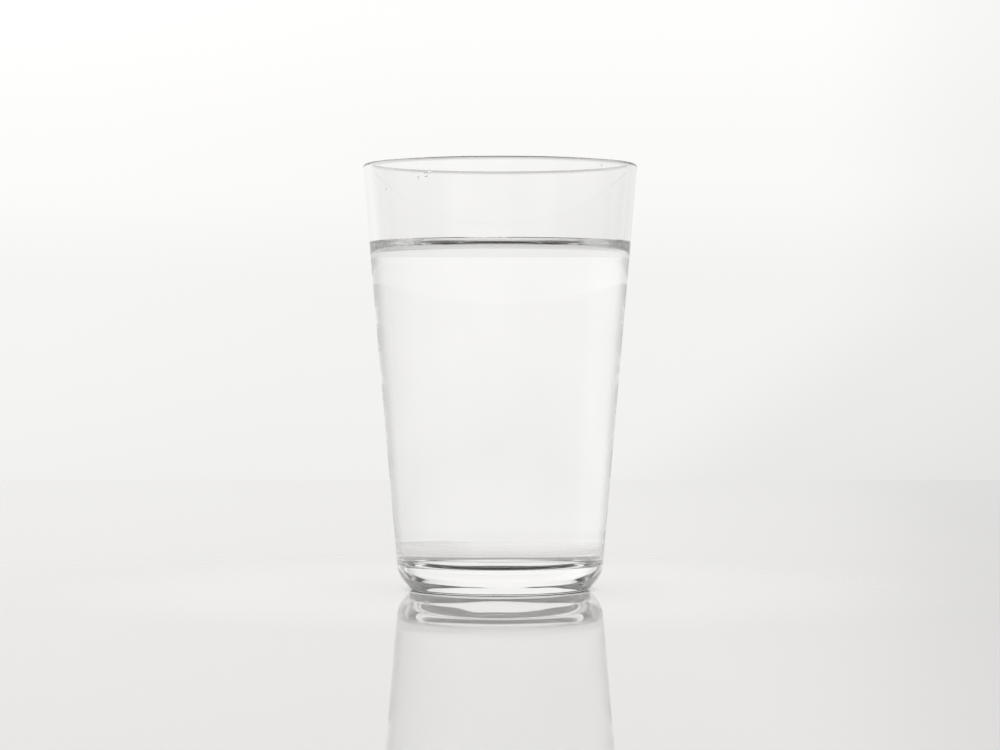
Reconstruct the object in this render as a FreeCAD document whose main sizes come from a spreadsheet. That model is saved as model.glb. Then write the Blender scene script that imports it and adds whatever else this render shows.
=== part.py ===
import FreeCAD, Part
import math
import os

import Sketcher

# A plain conical water tumbler and the water in it. Millimetres, +Z up. The
# origin is the centre of the foot, on the plane that the tumbler stands on.
# Each piece is one half section in the XZ plane, turned about the Z axis. Both
# sections are laid out on the same two wall lines, so the water fills the
# cavity face to face.

SIZES = [
    ("height", 124.0, "foot plane to the top of the lip"),
    ("rim_diameter", 80.0, "across the lip at its widest"),
    ("foot_diameter", 59.0, "outer cone carried down to the foot plane"),
    ("lip_wall", 2.0, "wall at the lip, which is a full round of this width"),
    ("floor_wall", 2.8, "wall at the level of the inner floor, measured flat"),
    ("base_thickness", 7.3, "foot plane to the inner floor"),
    ("corner_radius", 8.0, "hollow corner between the inner floor and the wall"),
    ("heel_radius", 8.5, "outer rounding between the wall and the bevel"),
    ("bevel_angle", 50.0, "degrees from the foot plane up to the bevel under the heel"),
    ("toe_radius", 2.0, "rounding between the bevel and the bearing ring"),
    ("bearing_inset", 4.5, "outer cone at the foot plane in to the bearing ring"),
    ("bearing_width", 1.8, "flat ring that the tumbler stands on"),
    ("punt_depth", 1.8, "rise of the hollow underside at its middle"),
    ("punt_edge_radius", 5.0, "rounding between the bearing ring and the hollow underside"),
    ("headspace", 22.7, "top of the lip down to the water's edge on the wall"),
    ("meniscus_rise", 2.8, "water's edge above the flat part of its surface"),
    ("meniscus_run", 4.7, "reach of the water's curve in from the wall"),
]
SIZE = {alias: value for alias, value, meaning in SIZES}

# The sketcher's numbers for a point of an element, its origin and its axes.
START = 1
END = 2
CENTRE = 3
ORIGIN = (-1, START)
ACROSS_AXIS = -1
UP_AXIS = -2

DOWN = 1.5 * math.pi
TOP = 0.5 * math.pi


def make_sheet(doc):
    """The driving dimensions, one to a row, each in a cell named by its alias."""
    sheet = doc.addObject("Spreadsheet::Sheet", "sizes")
    for row, (alias, value, meaning) in enumerate(SIZES, start=1):
        sheet.set(f"A{row}", alias)
        sheet.set(f"B{row}", str(value))
        sheet.set(f"C{row}", meaning)
        sheet.setAlias(f"B{row}", alias)
    doc.recompute()


def new_section(body, name):
    """An empty sketch on the body's own XZ plane: its x is across, its y is up."""
    sketch = body.newObject("Sketcher::SketchObject", name)
    plane = [p for p in body.Origin.OriginFeatures if p.Role == "XZ_Plane"][0]
    sketch.AttachmentSupport = [(plane, "")]
    sketch.MapMode = "FlatFace"
    return sketch


def line(sketch, start, end, construction=False):
    ends = [FreeCAD.Vector(across, up, 0) for across, up in (start, end)]
    return sketch.addGeometry(Part.LineSegment(*ends), construction)


def arc(sketch, centre, radius, first, last, construction=False):
    """An arc that runs counter-clockwise from the first angle to the last."""
    circle = Part.Circle(FreeCAD.Vector(*centre, 0), FreeCAD.Vector(0, 0, 1), radius)
    return sketch.addGeometry(Part.ArcOfCircle(circle, first, last), construction)


def tie(sketch, kind, *targets):
    """A constraint without a size, such as Coincident or Tangent."""
    sketch.addConstraint(Sketcher.Constraint(kind, *targets))


def dimension(sketch, name, formula, kind, *targets):
    """A named dimension whose value is a formula of the sheet's cells."""
    value = float(sketch.evalExpression(formula))
    if kind == "Angle":
        value = math.radians(value)
    index = sketch.addConstraint(Sketcher.Constraint(kind, *targets, value))
    sketch.renameConstraint(index, name)
    sketch.setExpression(f"Constraints.{name}", formula)


def on_circle(centre, radius, angle):
    return (centre[0] + radius * math.cos(angle), centre[1] + radius * math.sin(angle))


class WallLayout:
    """Where the walls lie at first, before the sketcher settles them exactly."""

    def __init__(self):
        self.lip_radius = SIZE["lip_wall"] / 2
        self.lip_centre = (SIZE["rim_diameter"] / 2 - self.lip_radius, SIZE["height"] - self.lip_radius)
        self.foot = SIZE["foot_diameter"] / 2
        self.floor = SIZE["base_thickness"]
        self.outer_lean = math.atan2(SIZE["rim_diameter"] / 2 - self.foot, self.lip_centre[1])
        self.inner_foot = self.outer_at(self.floor) - SIZE["floor_wall"]
        inner_flare = self.lip_centre[0] - self.lip_radius - self.inner_foot
        self.inner_lean = math.atan2(inner_flare, self.lip_centre[1] - self.floor)

    def outer_at(self, up):
        return self.foot + up * math.tan(self.outer_lean)

    def inner_at(self, up):
        return self.inner_foot + (up - self.floor) * math.tan(self.inner_lean)

    def on_lip(self, angle):
        return on_circle(self.lip_centre, self.lip_radius, angle)


def add_walls(sketch, layout, lip_is_construction):
    """The lip's round and, as construction, both wall lines that run into it and the wall at the floor."""
    lip = arc(
        sketch,
        layout.lip_centre,
        layout.lip_radius,
        -layout.outer_lean,
        math.pi - layout.inner_lean,
        lip_is_construction,
    )
    dimension(sketch, "lip_radius", "sizes.lip_wall / 2", "Radius", lip)
    dimension(
        sketch, "lip_across", "(sizes.rim_diameter - sizes.lip_wall) / 2", "DistanceX", *ORIGIN, lip, CENTRE
    )
    dimension(sketch, "lip_up", "sizes.height - sizes.lip_wall / 2", "DistanceY", *ORIGIN, lip, CENTRE)

    outer = line(sketch, (layout.foot, 0), layout.on_lip(-layout.outer_lean), True)
    tie(sketch, "PointOnObject", outer, START, ACROSS_AXIS)
    tie(sketch, "Tangent", lip, START, outer, END)
    dimension(sketch, "foot_across", "sizes.foot_diameter / 2", "DistanceX", *ORIGIN, outer, START)

    inner_foot = (layout.inner_foot, layout.floor)
    inner = line(sketch, inner_foot, layout.on_lip(math.pi - layout.inner_lean), True)
    tie(sketch, "Tangent", lip, END, inner, END)

    floor_wall = line(sketch, inner_foot, (layout.outer_at(layout.floor), layout.floor), True)
    tie(sketch, "Coincident", floor_wall, START, inner, START)
    tie(sketch, "PointOnObject", floor_wall, END, outer)
    tie(sketch, "Horizontal", floor_wall)
    dimension(
        sketch, "floor_wall", "sizes.floor_wall", "DistanceX", floor_wall, START, floor_wall, END
    )
    dimension(sketch, "floor_up", "sizes.base_thickness", "DistanceY", *ORIGIN, inner, START)
    return outer, inner


def add_hollow(sketch, layout, inner, wall_top):
    """The cavity's outline: inner floor, hollow corner and inner wall up to wall_top."""
    radius = SIZE["corner_radius"]
    lean = layout.inner_lean
    centre_up = layout.floor + radius
    centre_across = layout.inner_at(centre_up) - radius / math.cos(lean)

    floor = line(sketch, (0, layout.floor), (centre_across, layout.floor))
    tie(sketch, "PointOnObject", floor, START, UP_AXIS)
    tie(sketch, "Horizontal", floor)
    tie(sketch, "PointOnObject", inner, START, floor)

    corner = arc(sketch, (centre_across, centre_up), radius, DOWN, 2 * math.pi - lean)
    tie(sketch, "Tangent", corner, START, floor, END)
    dimension(sketch, "corner_radius", "sizes.corner_radius", "Radius", corner)

    wall = line(sketch, on_circle((centre_across, centre_up), radius, -lean), wall_top)
    tie(sketch, "Tangent", wall, START, corner, END)
    tie(sketch, "PointOnObject", wall, START, inner)
    return floor, wall


def heel_start(layout, bearing):
    """The heel's centre at first: its circle touches the outer wall, and the bevel over the toe."""
    bevel = math.radians(SIZE["bevel_angle"])
    lean = layout.outer_lean
    toe = SIZE["toe_radius"]
    from_bevel = bearing * math.sin(bevel) - toe * math.cos(bevel) + toe - SIZE["heel_radius"]
    from_wall = layout.foot * math.cos(lean) - SIZE["heel_radius"]
    across = from_wall * math.cos(bevel) - from_bevel * math.sin(lean)
    up = from_wall * math.sin(bevel) - from_bevel * math.cos(lean)
    return (across / math.cos(bevel + lean), up / math.cos(bevel + lean))


def add_foot(sketch, layout, outer):
    """The outline's underside: hollow punt, its edge, bearing ring, toe, bevel, heel and outer wall."""
    lean = layout.outer_lean
    bearing = layout.foot - SIZE["bearing_inset"]
    ring_inner = bearing - SIZE["bearing_width"]
    depth = SIZE["punt_depth"]
    edge_radius = SIZE["punt_edge_radius"]
    punt_radius = (ring_inner**2 + depth**2) / (2 * depth) - edge_radius
    punt_slope = math.atan2(ring_inner, punt_radius + edge_radius - depth)

    punt = arc(sketch, (0, depth - punt_radius), punt_radius, TOP - punt_slope, TOP)
    tie(sketch, "PointOnObject", punt, CENTRE, UP_AXIS)
    tie(sketch, "PointOnObject", punt, END, UP_AXIS)
    dimension(sketch, "punt_depth", "sizes.punt_depth", "DistanceY", *ORIGIN, punt, END)

    edge = arc(sketch, (ring_inner, edge_radius), edge_radius, DOWN - punt_slope, DOWN)
    tie(sketch, "Tangent", edge, START, punt, START)
    dimension(sketch, "punt_edge_radius", "sizes.punt_edge_radius", "Radius", edge)

    ring = line(sketch, (ring_inner, 0), (bearing, 0))
    tie(sketch, "Tangent", ring, START, edge, END)
    tie(sketch, "PointOnObject", ring, START, ACROSS_AXIS)
    tie(sketch, "Horizontal", ring)
    dimension(sketch, "bearing_width", "sizes.bearing_width", "DistanceX", ring, START, ring, END)
    dimension(sketch, "bearing_inset", "sizes.bearing_inset", "DistanceX", ring, END, outer, START)

    bevel_normal = DOWN + math.radians(SIZE["bevel_angle"])
    toe_centre = (bearing, SIZE["toe_radius"])
    toe = arc(sketch, toe_centre, SIZE["toe_radius"], DOWN, bevel_normal)
    tie(sketch, "Tangent", toe, START, ring, END)
    dimension(sketch, "toe_radius", "sizes.toe_radius", "Radius", toe)

    heel_centre = heel_start(layout, bearing)
    toe_top = on_circle(toe_centre, SIZE["toe_radius"], bevel_normal)
    heel_foot = on_circle(heel_centre, SIZE["heel_radius"], bevel_normal)
    bevel = line(sketch, toe_top, heel_foot)
    tie(sketch, "Tangent", bevel, START, toe, END)
    dimension(sketch, "bevel_angle", "sizes.bevel_angle * 1 deg", "Angle", bevel)

    heel = arc(sketch, heel_centre, SIZE["heel_radius"], bevel_normal, 2 * math.pi - lean)
    tie(sketch, "Tangent", heel, START, bevel, END)
    dimension(sketch, "heel_radius", "sizes.heel_radius", "Radius", heel)

    heel_top = on_circle(heel_centre, SIZE["heel_radius"], -lean)
    wall = line(sketch, heel_top, layout.on_lip(-lean))
    tie(sketch, "Tangent", wall, START, heel, END)
    tie(sketch, "PointOnObject", wall, START, outer)
    tie(sketch, "Coincident", wall, END, outer, END)
    return punt


def revolve(body, sketch, name):
    """A full turn of the section about the Z axis."""
    turn = body.newObject("PartDesign::Revolution", name)
    turn.Profile = sketch
    turn.ReferenceAxis = (sketch, ["V_Axis"])
    turn.Angle = 360
    sketch.Visibility = False
    return turn


def make_glass(doc, layout):
    """The tumbler: conical walls that thin towards a full-round lip, a thick base with a hollow underside."""
    body = doc.addObject("PartDesign::Body", "glass")
    body.Label = "glass"
    section = new_section(body, "glass_section")
    outer, inner = add_walls(section, layout, lip_is_construction=False)
    punt = add_foot(section, layout, outer)
    floor, wall = add_hollow(section, layout, inner, layout.on_lip(math.pi - layout.inner_lean))
    tie(section, "Coincident", wall, END, inner, END)

    axis = line(section, (0, SIZE["punt_depth"]), (0, layout.floor))
    tie(section, "Coincident", axis, START, punt, END)
    tie(section, "Coincident", axis, END, floor, START)

    revolve(body, section, "tumbler")
    return body


def make_water(doc, layout):
    """The water: fills the cavity to its edge on the wall, and dips from there to a flat surface."""
    body = doc.addObject("PartDesign::Body", "water")
    body.Label = "water"
    section = new_section(body, "water_section")
    outer, inner = add_walls(section, layout, lip_is_construction=True)

    edge_up = SIZE["height"] - SIZE["headspace"]
    edge = (layout.inner_at(edge_up), edge_up)
    floor, wall = add_hollow(section, layout, inner, edge)
    tie(section, "PointOnObject", wall, END, inner)
    dimension(section, "edge_up", "sizes.height - sizes.headspace", "DistanceY", *ORIGIN, wall, END)

    rise = SIZE["meniscus_rise"]
    run = SIZE["meniscus_run"]
    level = (edge[0] - run, edge_up - rise)
    curve_radius = (rise**2 + run**2) / (2 * rise)
    curve_centre = (level[0], level[1] + curve_radius)
    meniscus = arc(section, curve_centre, curve_radius, DOWN, DOWN + 2 * math.atan2(rise, run))
    tie(section, "Coincident", meniscus, END, wall, END)
    dimension(
        section, "meniscus_rise", "sizes.meniscus_rise", "DistanceY", meniscus, START, meniscus, END
    )
    dimension(
        section, "meniscus_run", "sizes.meniscus_run", "DistanceX", meniscus, START, meniscus, END
    )

    surface = line(section, (0, level[1]), level)
    tie(section, "PointOnObject", surface, START, UP_AXIS)
    tie(section, "Horizontal", surface)
    tie(section, "Tangent", surface, END, meniscus, START)

    axis = line(section, (0, layout.floor), (0, level[1]))
    tie(section, "Coincident", axis, START, floor, START)
    tie(section, "Coincident", axis, END, surface, START)

    revolve(body, section, "fill")
    return body


def check_document(doc, bodies):
    """Stops with a message if anything failed to build."""
    for thing in doc.Objects:
        if "Invalid" in thing.State or "Error" in thing.State:
            raise RuntimeError(f"{thing.Name} failed: {thing.State}")
        if thing.TypeId == "Sketcher::SketchObject" and not thing.FullyConstrained:
            raise RuntimeError(f"{thing.Name} is not fully constrained")
    for body in bodies:
        if body.Shape.isNull() or not body.Shape.isValid() or len(body.Shape.Solids) != 1:
            raise RuntimeError(f"{body.Label} is not one valid solid")


def main():
    doc = FreeCAD.newDocument("glass_of_water")
    make_sheet(doc)
    layout = WallLayout()
    glass = make_glass(doc, layout)
    water = make_water(doc, layout)
    doc.recompute()
    check_document(doc, [glass, water])

    os.makedirs("parts", exist_ok=True)
    for body in (glass, water):
        body.Placement = FreeCAD.Placement()
        body.Shape.exportStep(f"parts/{body.Label}.step")
        box = body.Shape.BoundBox
        print(f"{body.Label}: {body.Shape.Volume / 1000:.1f} cm3, z {box.ZMin:.3f} to {box.ZMax:.3f}")


main()
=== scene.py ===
import math

import bpy
import numpy as np
from mathutils import Matrix, Vector


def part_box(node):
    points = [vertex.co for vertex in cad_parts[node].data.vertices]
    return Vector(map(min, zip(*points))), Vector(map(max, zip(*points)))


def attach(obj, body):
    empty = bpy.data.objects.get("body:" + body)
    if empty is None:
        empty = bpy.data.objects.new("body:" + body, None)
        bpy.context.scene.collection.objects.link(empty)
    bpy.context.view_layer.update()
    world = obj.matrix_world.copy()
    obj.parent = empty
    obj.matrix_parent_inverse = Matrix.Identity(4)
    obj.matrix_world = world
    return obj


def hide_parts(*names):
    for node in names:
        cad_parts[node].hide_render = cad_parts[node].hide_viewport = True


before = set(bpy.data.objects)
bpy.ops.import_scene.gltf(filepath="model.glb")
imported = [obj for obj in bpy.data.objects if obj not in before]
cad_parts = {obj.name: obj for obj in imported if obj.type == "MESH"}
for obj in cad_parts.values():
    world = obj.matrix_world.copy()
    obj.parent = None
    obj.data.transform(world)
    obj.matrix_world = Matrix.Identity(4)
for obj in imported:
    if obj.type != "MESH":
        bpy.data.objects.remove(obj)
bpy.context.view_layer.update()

# The glass of water, in metres and degrees, in the CAD model's frame: +Z up, foot on z = 0
GLASS_HIGH = Vector(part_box("glass")[1])
WATER_LOW, WATER_HIGH = (Vector(corner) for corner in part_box("water"))
HEIGHT = GLASS_HIGH.z
RIM_RADIUS = min(GLASS_HIGH.x, GLASS_HIGH.y)
INNER_FLOOR = WATER_LOW.z
WATER_EDGE = WATER_HIGH.z

FOOT_RADIUS = 0.0295
LIP_WALL = 0.0020
FLOOR_WALL = 0.0028
CORNER_RADIUS = 0.0080
HEEL_RADIUS = 0.0085
BEVEL_LEAN = 40.0
TOE_RADIUS = 0.0020
BEARING_RADIUS = 0.0250
BEARING_WIDTH = 0.0018
PUNT_DEPTH = 0.0018
PUNT_EDGE_RADIUS = 0.0050

# The curved edge of the water, and how far the water reaches into the wall, so that no air shows between
CAPILLARY_LENGTH = 0.00273
CONTACT_SLOPE = 62.0
INTO_WALL = 0.00012

# Drops inside the glass, each as (degrees from +X, height, radius)
DROPS = [
    (237, HEIGHT - 0.0047, 0.0007),
    (239, HEIGHT - 0.0039, 0.0005),
    (233, HEIGHT - 0.0055, 0.0004),
    (212, HEIGHT - 0.0082, 0.0003),
    (318, HEIGHT - 0.0018, 0.0003),
    (213, WATER_EDGE + 0.0003, 0.0003),
    (335, WATER_EDGE + 0.0003, 0.0003),
    (339, WATER_EDGE + 0.0004, 0.0003),
    (347, WATER_EDGE + 0.0003, 0.0003),
]
# Half of a drop's depth, and how far its middle stands off the wall, as shares of its radius
DROP_HALF_DEPTH = 0.45
DROP_STAND_OFF = 0.25

# Mesh fineness: steps round the axis and along each stretch of the half sections
SEGMENTS = 384
ARC_POINTS = 24
HEEL_POINTS = 32
PUNT_EDGE_POINTS = 8
MENISCUS_POINTS = 36
BEARING_STEPS = 4
BEVEL_STEPS = 6
SHORT_STEPS = 16
WET_WALL_STEPS = 32
LONG_STEPS = 40
DROP_RINGS = 10
DROP_TURNS = 20

# Clear materials: two tones that mix in patches, and soft waves of one depth low down and another above
GLASS_IOR = 1.5
WATER_IOR = 1.333
WET_GLASS_IOR = GLASS_IOR / WATER_IOR
GLASS_TONES = ((0.990, 0.991, 0.988), (0.999, 0.999, 0.996))
WATER_TONES = ((0.994, 0.998, 0.997), (1.0, 1.0, 1.0))
TONE_PLACES = (0.35, 0.65)
GLASS_WAVES = {"size": 0.018, "low_depth": 0.00020, "change_from": 0.012, "high_depth": 0.00003}
WATER_WAVES = {"size": 0.012, "low_depth": 0.0, "change_from": 0.010, "high_depth": 0.00004}
CHANGE_LENGTH = 0.5

# The stage: a glossy table with its back edge behind the glass, with a dark contact shadow painted under the
# foot.
# Its painted levels are (distance from the axis, level): painted shadow under the foot, painted light near
# the glass, and a painted falloff of light to the right.
TABLE_BACK = 0.708
TABLE_FRONT = -12.0
TABLE_HALF = 12.0
TABLE_TOP = -0.00003
TABLE_ROUGHNESS = 0.02
TABLE_IOR = 1.5
TABLE_TINT = (1.0, 0.987, 0.978)
# Painted shading: a dark painted shadow under the foot, then painted light near the glass that fades further
# out
TABLE_PAINTED_SHADING = [(0.025, 0.12), (0.029, 0.82), (0.06, 0.82), (0.15, 0.68)]
TABLE_SPAN = 0.2
# A painted falloff of light across the table to the right, between these distances, down to this level
PAINTED_FALLOFF_FROM = 0.05
PAINTED_FALLOFF_TO = 0.20
PAINTED_FALLOFF_LEVEL = 0.60

# The room, by direction: each list is (share of the direction along an axis, level).
# Its back is a tall pale wall, its front is lit in a low band, and its ceiling and what is below are dark.
DARK = 0.05
BACK_UP = [(-0.25, DARK), (-0.12, 0.85), (0.017, 0.90), (0.06, 0.96), (0.12, 1.0), (0.56, 1.0), (0.64, DARK)]
FRONT_UP = [(-0.12, DARK), (-0.02, 1.0), (0.18, 1.0), (0.30, 0.15), (0.47, 0.15), (0.62, DARK)]
FRONT_TO_BACK = [(-0.3, 0.0), (0.3, 1.0)]
ROOM_ACROSS = [
    (-0.85, 0.8),
    (-0.65, 1.06),
    (-0.485, 1.04),
    (-0.34, 1.0),
    (0.17, 1.0),
    (0.34, 0.98),
    (0.485, 0.95),
    (0.62, 0.92),
    (0.85, 0.6),
]
# The plain view of the wall also falls off to the right, and more so low down
VIEW_ACROSS = [(-0.17, 1.02), (0.0, 1.0), (0.10, 1.0), (0.17, 0.93), (0.25, 0.89)]
LOW_FROM = 0.016
LOW_SHIFT = 1.3
WARM_WHITE = (1.0, 0.994, 0.988)
PLAIN_LIGHT = 1.0
BOUNCES = 160

EYE_DISTANCE = 0.864
EYE_HEIGHT = 0.0707
EYE_TILT = 0.542
FOCAL_LENGTH = 106.5
SENSOR_WIDTH = 36.0


def tangent_lean(point, centre, radius, side):
    """Angle from upright of the line from point that touches a circle on its outer (1) or inner (-1) side."""
    across = centre[0] - point[0]
    up = centre[1] - point[1]
    return math.atan2(across, up) + side * math.asin(radius / math.hypot(across, up))


def arc_points(centre, radius, first, last, count):
    """Points on an arc between two angles in degrees, both ends included."""
    angles = np.radians(np.linspace(first, last, count))
    return [(centre[0] + radius * math.cos(a), centre[1] + radius * math.sin(a)) for a in angles]


def line_points(start, end, count):
    """The points between two ends, closer together near the ends, so that shading turns only there."""
    steps = [(1 - math.cos(math.pi * k / count)) / 2 for k in range(1, count)]
    return [(start[0] + (end[0] - start[0]) * t, start[1] + (end[1] - start[1]) * t) for t in steps]


def meniscus_points(count):
    """Distance from the wall and height over the level of still water, from the level to the wall.

    The height of a meniscus where it slopes by s is 2 c sin(s / 2), with c the capillary length.
    """
    def reach(slope):
        return CAPILLARY_LENGTH * (math.acosh(1 / math.sin(slope / 2)) - 2 * math.cos(slope / 2))

    contact = math.radians(CONTACT_SLOPE)
    slopes = [contact * (k / count) ** 2 for k in range(1, count + 1)]
    return [(reach(slope) - reach(contact), 2 * CAPILLARY_LENGTH * math.sin(slope / 2)) for slope in slopes]


LIP_RADIUS = LIP_WALL / 2
LIP_CENTRE = (RIM_RADIUS - LIP_RADIUS, HEIGHT - LIP_RADIUS)
OUTER_LEAN = tangent_lean((FOOT_RADIUS, 0), LIP_CENTRE, LIP_RADIUS, 1)
INNER_FOOT = FOOT_RADIUS + INNER_FLOOR * math.tan(OUTER_LEAN) - FLOOR_WALL
INNER_LEAN = tangent_lean((INNER_FOOT, INNER_FLOOR), LIP_CENTRE, LIP_RADIUS, -1)


def inner_radius(up):
    """The inner wall's distance from the axis at a height."""
    return INNER_FOOT + (up - INNER_FLOOR) * math.tan(INNER_LEAN)


def corner_arc():
    """The hollow corner between inner floor and wall, from the floor up."""
    up = INNER_FLOOR + CORNER_RADIUS
    centre = (inner_radius(up) - CORNER_RADIUS / math.cos(INNER_LEAN), up)
    return arc_points(centre, CORNER_RADIUS, 270, 360 - math.degrees(INNER_LEAN), ARC_POINTS)


def heel_centre():
    """The centre of the heel arc, which touches the outer wall and the bevel over the toe."""
    bevel = Vector((math.cos(math.radians(BEVEL_LEAN)), -math.sin(math.radians(BEVEL_LEAN))))
    wall = Vector((math.cos(OUTER_LEAN), -math.sin(OUTER_LEAN)))
    from_bevel = bevel.dot(Vector((BEARING_RADIUS, TOE_RADIUS))) + TOE_RADIUS - HEEL_RADIUS
    from_wall = wall.dot(Vector((FOOT_RADIUS, 0))) - HEEL_RADIUS
    return Matrix((bevel, wall)).inverted() @ Vector((from_bevel, from_wall))


def glass_section():
    """The half section, from the middle of the underside, out, up and over the lip, down to the inner floor.

    It comes with the number of its stretches that are dry.
    """
    ring_inner = BEARING_RADIUS - BEARING_WIDTH
    punt_radius = (ring_inner**2 + PUNT_DEPTH**2) / (2 * PUNT_DEPTH) - PUNT_EDGE_RADIUS
    slope = math.degrees(math.atan2(ring_inner, punt_radius + PUNT_EDGE_RADIUS - PUNT_DEPTH))
    outer_lean = math.degrees(OUTER_LEAN)
    inner_lean = math.degrees(INNER_LEAN)

    punt = arc_points((0, PUNT_DEPTH - punt_radius), punt_radius, 90, 90 - slope, ARC_POINTS)
    roll = arc_points((ring_inner, PUNT_EDGE_RADIUS), PUNT_EDGE_RADIUS, 270 - slope, 270, PUNT_EDGE_POINTS)
    toe = arc_points((BEARING_RADIUS, TOE_RADIUS), TOE_RADIUS, 270, 360 - BEVEL_LEAN, ARC_POINTS)
    heel = arc_points(heel_centre(), HEEL_RADIUS, 360 - BEVEL_LEAN, 360 - outer_lean, HEEL_POINTS)
    lip = arc_points(LIP_CENTRE, LIP_RADIUS, -outer_lean, 180 - inner_lean, ARC_POINTS)
    water_line = (inner_radius(WATER_EDGE), WATER_EDGE)
    corner = corner_arc()[::-1]
    middle = (0, INNER_FLOOR)

    points = punt + roll[1:] + line_points(roll[-1], toe[0], BEARING_STEPS) + toe
    points += line_points(toe[-1], heel[0], BEVEL_STEPS) + heel
    points += line_points(heel[-1], lip[0], LONG_STEPS) + lip
    points += line_points(lip[-1], water_line, SHORT_STEPS) + [water_line]
    dry = len(points) - 1
    points += line_points(water_line, corner[0], WET_WALL_STEPS) + corner
    points += line_points(corner[-1], middle, SHORT_STEPS) + [middle]
    return points, dry


def water_section():
    """The half section, from the middle of the floor, out and up the wall, and back along the surface.

    It comes with the number of its stretches that are sunk in the glass.
    """
    floor = (0, INNER_FLOOR - INTO_WALL)
    corner = [(r + INTO_WALL, z - INTO_WALL) for r, z in corner_arc()]
    edge = inner_radius(WATER_EDGE)
    sunk_edge = (edge + INTO_WALL, WATER_EDGE + INTO_WALL * math.tan(math.radians(CONTACT_SLOPE)))
    curve = meniscus_points(MENISCUS_POINTS)
    level = WATER_EDGE - curve[-1][1]
    surface = [(edge - away, level + rise) for away, rise in reversed(curve)]
    middle = (0, level)

    points = [floor] + line_points(floor, corner[0], SHORT_STEPS) + corner
    points += line_points(corner[-1], sunk_edge, LONG_STEPS) + [sunk_edge]
    sunk = len(points) - 1
    points += surface + line_points(surface[-1], middle, SHORT_STEPS) + [middle]
    return points, sunk


def add_mesh(name, verts, faces):
    """A smooth mesh object in the scene."""
    mesh = bpy.data.meshes.new(name)
    mesh.from_pydata(verts, [], faces)
    mesh.shade_smooth()
    piece = bpy.data.objects.new(name, mesh)
    bpy.context.scene.collection.objects.link(piece)
    return piece


def lathe(name, section):
    """A closed mesh turned from points that start and end on the axis.

    The first stretches, as many as the section says, take the first material and the rest the second.
    """
    points, change = section
    rings = points[1:-1]
    verts = [(0, 0, points[0][1])]
    for r, z in rings:
        for k in range(SEGMENTS):
            angle = 2 * math.pi * k / SEGMENTS
            verts.append((r * math.cos(angle), r * math.sin(angle), z))
    verts.append((0, 0, points[-1][1]))

    faces = []
    coats = []
    top = 1 + (len(rings) - 1) * SEGMENTS
    for k in range(SEGMENTS):
        n = (k + 1) % SEGMENTS
        faces.append((0, 1 + n, 1 + k))
        coats.append(0)
        for ring in range(len(rings) - 1):
            low = 1 + ring * SEGMENTS
            high = low + SEGMENTS
            faces.append((low + k, low + n, high + n, high + k))
            coats.append(0 if ring + 1 < change else 1)
        faces.append((top + k, top + n, len(verts) - 1))
        coats.append(1)
    piece = add_mesh(name, verts, faces)
    piece.data.polygons.foreach_set("material_index", coats)
    return piece


def droplets(name, spots):
    """Flattened drops on the inner wall, each a closed ball of rings between its outer and inner end."""
    verts = []
    faces = []
    for heading, up, radius in spots:
        angle = math.radians(heading)
        out = Vector((math.cos(angle), math.sin(angle), 0))
        along = Vector((-math.sin(angle), math.cos(angle), 0))
        middle = out * (inner_radius(up) - DROP_STAND_OFF * radius) + Vector((0, 0, up))
        half_depth = out * (DROP_HALF_DEPTH * radius)
        start = len(verts)
        for ring in range(1, DROP_RINGS):
            polar = math.pi * ring / DROP_RINGS
            reach = radius * math.sin(polar)
            for k in range(DROP_TURNS):
                turn = 2 * math.pi * k / DROP_TURNS
                across = along * (reach * math.cos(turn)) + Vector((0, 0, reach * math.sin(turn)))
                verts.append(middle + half_depth * math.cos(polar) + across)
        outer_end = len(verts)
        inner_end = outer_end + 1
        verts += [middle + half_depth, middle - half_depth]
        last_ring = start + (DROP_RINGS - 2) * DROP_TURNS
        for k in range(DROP_TURNS):
            n = (k + 1) % DROP_TURNS
            faces.append((outer_end, start + k, start + n))
            for low in range(start, last_ring, DROP_TURNS):
                high = low + DROP_TURNS
                faces.append((low + k, high + k, high + n, low + n))
            faces.append((inner_end, last_ring + n, last_ring + k))
    return add_mesh(name, verts, faces)


def add_node(tree, kind, inputs, **settings):
    """A new node, with each input given as a value or as the socket that feeds it."""
    node = tree.nodes.new(kind)
    for name, value in settings.items():
        setattr(node, name, value)
    for key, value in inputs.items():
        if isinstance(value, bpy.types.NodeSocket):
            tree.links.new(value, node.inputs[key])
        else:
            node.inputs[key].default_value = value
    return node


def reckon(tree, operation, *values):
    """The result of arithmetic on values or sockets."""
    return add_node(tree, "ShaderNodeMath", dict(enumerate(values)), operation=operation).outputs[0]


def add_ramp(tree, value, stops, interpolation="EASE"):
    """The colour for a value from 0 to 1, through (value, colour) stops."""
    node = add_node(tree, "ShaderNodeValToRGB", {"Fac": value})
    node.color_ramp.interpolation = interpolation
    elements = node.color_ramp.elements
    while len(elements) < len(stops):
        elements.new(0.5)
    for element, (at, colour) in zip(elements, stops):
        element.position = at
        element.color = (*colour, 1)
    return node.outputs["Color"]


def material(name, colour, roughness, ior, transmission=0.0):
    made = bpy.data.materials.new(name)
    made.use_nodes = True
    shader = made.node_tree.nodes["Principled BSDF"]
    shader.inputs["Base Color"].default_value = (*colour, 1)
    shader.inputs["Roughness"].default_value = roughness
    shader.inputs["IOR"].default_value = ior
    shader.inputs["Transmission Weight"].default_value = transmission
    return made


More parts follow.
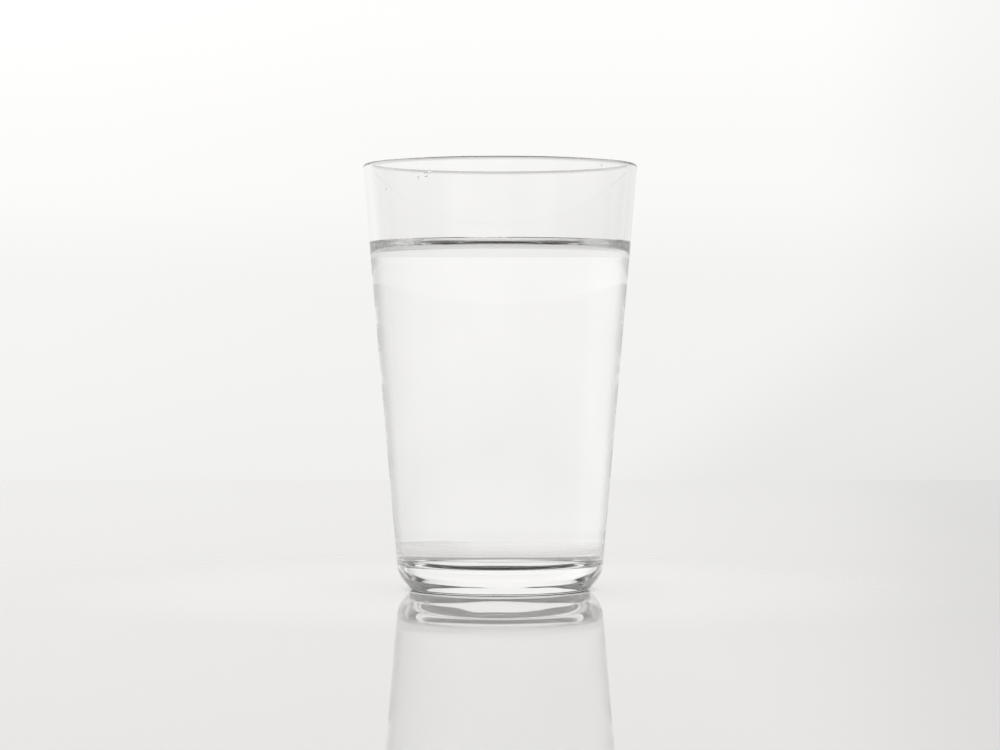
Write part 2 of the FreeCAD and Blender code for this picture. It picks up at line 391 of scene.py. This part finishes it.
def clear_material(name, tones, ior, waves):
    """A clear surface with faint uneven colour and soft waves."""
    made = material(name, tones[1], 0.0, ior, 1.0)
    tree = made.node_tree
    shader = tree.nodes["Principled BSDF"]
    position = tree.nodes.new("ShaderNodeTexCoord").outputs["Object"]
    noise_inputs = {"Vector": position, "Scale": 1 / waves["size"], "Detail": 1.0}
    patches = add_node(tree, "ShaderNodeTexNoise", noise_inputs).outputs["Fac"]

    tone = add_ramp(tree, patches, list(zip(TONE_PLACES, tones)), "LINEAR")
    tree.links.new(tone, shader.inputs["Base Color"])

    up = add_node(tree, "ShaderNodeSeparateXYZ", {0: position}).outputs["Z"]
    depth_inputs = {
        "Value": up,
        "From Min": waves["change_from"],
        "From Max": waves["change_from"] * (1 + CHANGE_LENGTH),
        "To Min": waves["low_depth"],
        "To Max": waves["high_depth"],
    }
    depth = add_node(tree, "ShaderNodeMapRange", depth_inputs, interpolation_type="SMOOTHSTEP")
    height = reckon(tree, "MULTIPLY", patches, depth.outputs["Result"])
    bump = add_node(tree, "ShaderNodeBump", {"Height": height, "Distance": 1.0})
    tree.links.new(bump.outputs["Normal"], shader.inputs["Normal"])
    return made


def table_material():
    """A pale gloss with a painted shadow just under the glass, painted light near it, and a painted falloff
    of light to the right.
    """
    plain = TABLE_PAINTED_SHADING[-1][1]
    made = material("pale_floor_painted_shade", (plain, plain, plain), TABLE_ROUGHNESS, TABLE_IOR)
    tree = made.node_tree
    position = tree.nodes.new("ShaderNodeTexCoord").outputs["Object"]
    # Painted shadow under the foot and painted light near the glass, by distance from the axis
    distance = add_node(tree, "ShaderNodeVectorMath", {0: position}, operation="LENGTH").outputs["Value"]
    stops = [(at / TABLE_SPAN, [level * part for part in TABLE_TINT]) for at, level in TABLE_PAINTED_SHADING]
    tone = add_ramp(tree, reckon(tree, "DIVIDE", distance, TABLE_SPAN), stops)

    # Painted falloff of light to the right
    painted_falloff_inputs = {
        "Value": add_node(tree, "ShaderNodeSeparateXYZ", {0: position}).outputs["X"],
        "From Min": PAINTED_FALLOFF_FROM,
        "From Max": PAINTED_FALLOFF_TO,
        "To Min": 1.0,
        "To Max": PAINTED_FALLOFF_LEVEL,
    }
    painted_falloff = add_node(tree, "ShaderNodeMapRange", painted_falloff_inputs).outputs["Result"]
    shaded = add_node(tree, "ShaderNodeVectorMath", {0: tone, "Scale": painted_falloff}, operation="SCALE")
    tree.links.new(shaded.outputs["Vector"], tree.nodes["Principled BSDF"].inputs["Base Color"])
    return made


def light_room(tree):
    """Light by direction: a pale wall behind, a lit band in front, dark above and below.

    Seen plainly or in the table's gloss, the wall also falls off to the right. Matt surfaces are lit evenly.
    """
    def level_along(share, stops):
        at = reckon(tree, "MULTIPLY_ADD", share, 0.5, 0.5)
        return add_ramp(tree, at, [((place + 1) / 2, (level, level, level)) for place, level in stops])

    def blend(share, first, second):
        return add_node(tree, "ShaderNodeMix", {"Factor": share, "A": first, "B": second}).outputs["Result"]

    position = tree.nodes.new("ShaderNodeTexCoord").outputs["Generated"]
    direction = add_node(tree, "ShaderNodeSeparateXYZ", {0: position}).outputs
    path = tree.nodes.new("ShaderNodeLightPath").outputs

    is_back = level_along(direction["Y"], FRONT_TO_BACK)
    up = blend(is_back, level_along(direction["Z"], FRONT_UP), level_along(direction["Z"], BACK_UP))
    room = reckon(tree, "MULTIPLY", up, level_along(direction["X"], ROOM_ACROSS))

    below = reckon(tree, "MINIMUM", reckon(tree, "SUBTRACT", direction["Z"], LOW_FROM), 0.0)
    across = reckon(tree, "MULTIPLY_ADD", below, -LOW_SHIFT, direction["X"])
    seen = reckon(tree, "MULTIPLY", room, level_along(across, VIEW_ACROSS))

    not_matt = reckon(tree, "LESS_THAN", path["Diffuse Depth"], 0.5)
    through = reckon(tree, "MULTIPLY", path["Is Transmission Ray"], not_matt)
    light = blend(through, blend(not_matt, PLAIN_LIGHT, seen), room)
    white = add_node(tree, "ShaderNodeVectorMath", {0: WARM_WHITE, "Scale": light}, operation="SCALE")
    background = tree.nodes["Background"]
    tree.links.new(white.outputs["Vector"], background.inputs["Color"])
    background.inputs["Strength"].default_value = 1.0


glass = lathe("glass_tumbler", glass_section())
glass.data.materials.append(clear_material("clear_glass", GLASS_TONES, GLASS_IOR, GLASS_WAVES))
glass.data.materials.append(clear_material("clear_glass_wet", GLASS_TONES, WET_GLASS_IOR, GLASS_WAVES))
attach(glass, "root")
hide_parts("glass")

water = lathe("water_fill", water_section())
water.data.materials.append(material("still_water_sunk", (1, 1, 1), 0.0, 1.0, 1.0))
water.data.materials.append(clear_material("still_water", WATER_TONES, WATER_IOR, WATER_WAVES))
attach(water, "root")
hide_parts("water")

drops = droplets("water_drops", DROPS)
drops.data.materials.append(clear_material("still_water_drops", WATER_TONES, WATER_IOR, WATER_WAVES))
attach(drops, "root")

table_corners = [
    (-TABLE_HALF, TABLE_FRONT, 0),
    (TABLE_HALF, TABLE_FRONT, 0),
    (TABLE_HALF, TABLE_BACK, 0),
    (-TABLE_HALF, TABLE_BACK, 0),
]
floor = add_mesh("stage_floor", table_corners, [(0, 1, 2, 3)])
floor.location.z = TABLE_TOP
floor.data.materials.append(table_material())

world = bpy.data.worlds.new("studio")
world.use_nodes = True
light_room(world.node_tree)
bpy.context.scene.world = world
cycles = bpy.context.scene.cycles
cycles.max_bounces = BOUNCES
cycles.glossy_bounces = BOUNCES
cycles.transmission_bounces = BOUNCES

camera_data = bpy.data.cameras.new("camera")
camera_data.sensor_width = SENSOR_WIDTH
camera_data.lens = FOCAL_LENGTH
camera = bpy.data.objects.new("camera", camera_data)
bpy.context.scene.collection.objects.link(camera)
camera.location = (0, -EYE_DISTANCE, EYE_HEIGHT)
camera.rotation_euler = (math.radians(90 - EYE_TILT), 0, 0)
bpy.context.scene.camera = camera
bpy.context.scene.view_settings.view_transform = "Standard"
